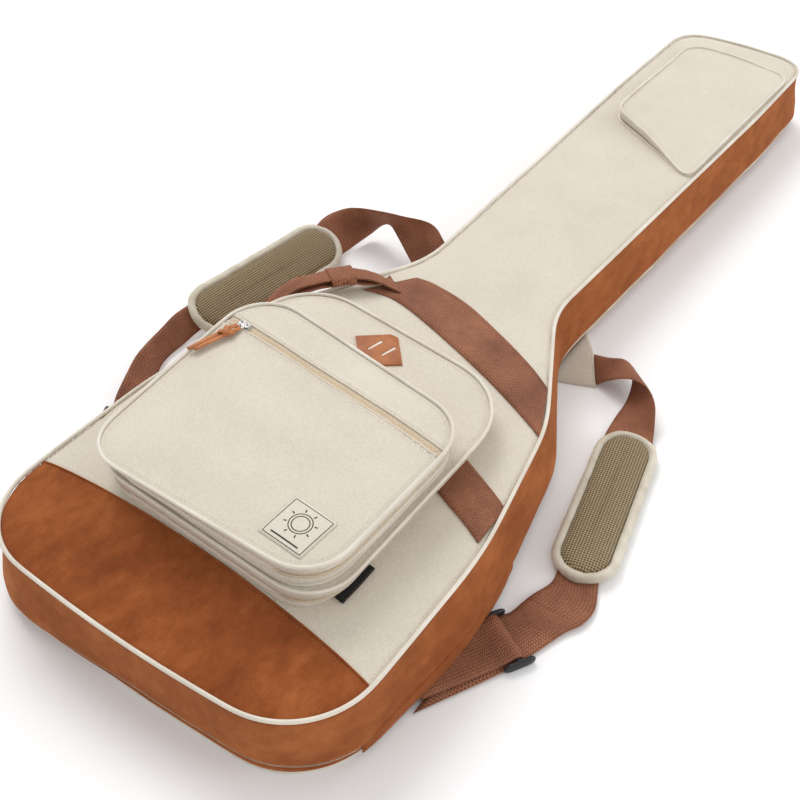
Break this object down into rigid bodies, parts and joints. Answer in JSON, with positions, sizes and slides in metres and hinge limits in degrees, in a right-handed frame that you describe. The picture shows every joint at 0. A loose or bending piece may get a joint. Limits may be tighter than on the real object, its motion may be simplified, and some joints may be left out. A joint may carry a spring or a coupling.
{
  "type": "padded gig bag",
  "caption": "Padded gig bag for a bass guitar, lying on its back, with suede sides, stacked zipped pockets, a head pocket, a carry handle and padded shoulder straps with adjusters.",
  "frame": {"origin": "on the back panel's outer face, on the bag's middle line at the bottom end", "axes": "+Y along the bag towards the head end, +Z out of the front, +X to the right seen from the front"},
  "size_m": [0.5897, 1.2482, 0.1455],
  "materials": {
    "canvas": "plain woven canvas",
    "suede": "brushed suede",
    "piping": "smooth woven piping",
    "zip_tape": "woven tape with coil teeth",
    "hinge_cloth": "brushed",
    "foam": "open cell foam",
    "lining": "brushed lining",
    "webbing": "ribbed woven webbing",
    "pad_binding": "woven binding",
    "spacer_mesh": "open spacer mesh",
    "label": "printed cloth, no lettering",
    "black_web": "woven",
    "patch_leather": "smooth leather",
    "pull_leather": "waxed leather cord",
    "zip_metal": "satin nickel",
    "glide_plastic": "moulded satin"
  },
  "bodies": {
    "shell": {"back_panel": "canvas", "back_foam": "foam", "back_lining": "lining", "back_piping": "piping", "main_zip_tape_lower": "zip_tape", "hinge_tape": "hinge_cloth", "neck_cradle": "lining", "strap_tab_right": "canvas", "strap_upper_right": "webbing", "shoulder_pad_right": "pad_binding", "pad_mesh_right": "spacer_mesh", "strap_lower_right": "webbing", "strap_tail_right": "webbing", "strap_tab_left": "canvas", "strap_upper_left": "webbing", "shoulder_pad_left": "pad_binding", "pad_mesh_left": "spacer_mesh", "strap_lower_left": "webbing", "strap_tail_left": "webbing"},
    "cover": {"front_panel": "canvas", "front_base_panel": "suede", "front_foam": "foam", "front_lining": "lining", "front_piping": "piping", "side_gusset": "suede", "gusset_foam": "foam", "gusset_lining": "lining", "main_zip_tape_upper": "zip_tape", "web_band_upper": "webbing", "web_band_lower": "webbing", "woven_tab": "black_web", "organizer_base_wall": "canvas", "head_pocket_base_wall": "canvas"},
    "organizer_flap": {"organizer_wall": "canvas", "organizer_face": "canvas", "organizer_piping": "piping", "lash_tab": "patch_leather", "pocket_base_wall": "canvas"},
    "pocket_flap": {"pocket_wall": "canvas", "pocket_face": "canvas", "pocket_face_upper": "canvas", "face_zip_tape": "zip_tape", "pocket_piping": "piping", "label_patch": "label"},
    "head_flap": {"head_pocket_wall": "canvas", "head_pocket_face": "canvas", "head_pocket_piping": "piping"},
    "face_slider": {"face_zip_slider": "zip_metal"},
    "face_pull": {"face_zip_pull": "pull_leather"},
    "side_slider": {"side_zip_slider": "zip_metal"},
    "side_pull": {"side_zip_pull": "pull_leather"},
    "main_slider_a": {"main_slider_a": "zip_metal"},
    "main_pull_a": {"main_slider_a_pull": "zip_metal"},
    "main_slider_b": {"main_slider_b": "zip_metal"},
    "main_pull_b": {"main_slider_b_pull": "zip_metal"},
    "front_handle": {"handle_front": "webbing", "handle_wrap": "pull_leather"},
    "back_handle": {"handle_back": "webbing"},
    "glide_right": {"adjuster_right": "glide_plastic"},
    "glide_left": {"adjuster_left": "glide_plastic"}
  },
  "joints": [
    {"name": "cover_hinge", "type": "hinge", "parent": "shell", "child": "cover", "pos_m": [0.208, 0.177, 0.015], "axis": [0, 1, 0], "range_deg": [0, 85]},
    {"name": "organizer_hinge", "type": "hinge", "parent": "cover", "child": "organizer_flap", "pos_m": [0, 0.0958, 0.0953], "axis": [0.9986, -0.0526, 0], "range_deg": [0, 50]},
    {"name": "pocket_hinge", "type": "hinge", "parent": "organizer_flap", "child": "pocket_flap", "pos_m": [0, 0.0925, 0.1253], "axis": [1, 0, 0], "range_deg": [0, 50]},
    {"name": "head_pocket_hinge", "type": "hinge", "parent": "cover", "child": "head_flap", "pos_m": [0, 1.186, 0.0857], "axis": [-1, 0, 0], "range_deg": [0, 45]},
    {"name": "face_zip_slide", "type": "slide", "parent": "pocket_flap", "child": "face_slider", "axis": [0.9918, -0.1275, 0], "range_m": [0, 0.225]},
    {"name": "face_pull_hinge", "type": "hinge", "parent": "face_slider", "child": "face_pull", "pos_m": [-0.11897, 0.29021, 0.1438], "axis": [-0.9684, 0.2496, 0], "range_deg": [0, 90]},
    {"name": "side_zip_slide", "type": "slide", "parent": "pocket_flap", "child": "side_slider", "axis": [0.0704, -0.9975, 0], "range_m": [0, 0.09]},
    {"name": "side_pull_hinge", "type": "hinge", "parent": "side_slider", "child": "side_pull", "pos_m": [-0.14198, 0.227, 0.1253], "axis": [0, 0, -1], "range_deg": [0, 110]},
    {"name": "main_zip_slide_a", "type": "slide", "parent": "shell", "child": "main_slider_a", "axis": [-0.0256, 0.9997, 0], "range_m": [-0.09, 0.04]},
    {"name": "main_pull_hinge_a", "type": "hinge", "parent": "main_slider_a", "child": "main_pull_a", "pos_m": [-0.0906, 0.718, 0.015], "axis": [0, 0, -1], "range_deg": [0, 60]},
    {"name": "main_zip_slide_b", "type": "slide", "parent": "shell", "child": "main_slider_b", "axis": [-0.0256, 0.9997, 0], "range_m": [-0.03, 0.17]},
    {"name": "main_pull_hinge_b", "type": "hinge", "parent": "main_slider_b", "child": "main_pull_b", "pos_m": [-0.09418, 0.858, 0.015], "axis": [0, 0, -1], "range_deg": [0, 60]},
    {"name": "front_handle_hinge", "type": "hinge", "parent": "cover", "child": "front_handle", "pos_m": [-0.153, 0.424, 0.0836], "axis": [-0.5692, -0.8222, 0], "range_deg": [0, 100]},
    {"name": "back_handle_hinge", "type": "hinge", "parent": "shell", "child": "back_handle", "pos_m": [-0.16316, 0.40424, 0.007], "axis": [0.4612, 0.8873, 0], "range_deg": [0, 65]},
    {"name": "glide_slide_right", "type": "slide", "parent": "shell", "child": "glide_right", "axis": [0.4961, 0.8682, 0], "range_m": [0, 0.025]},
    {"name": "glide_slide_left", "type": "slide", "parent": "shell", "child": "glide_left", "axis": [-0.4848, 0.8746, 0], "range_m": [0, 0.03]}
  ]
}
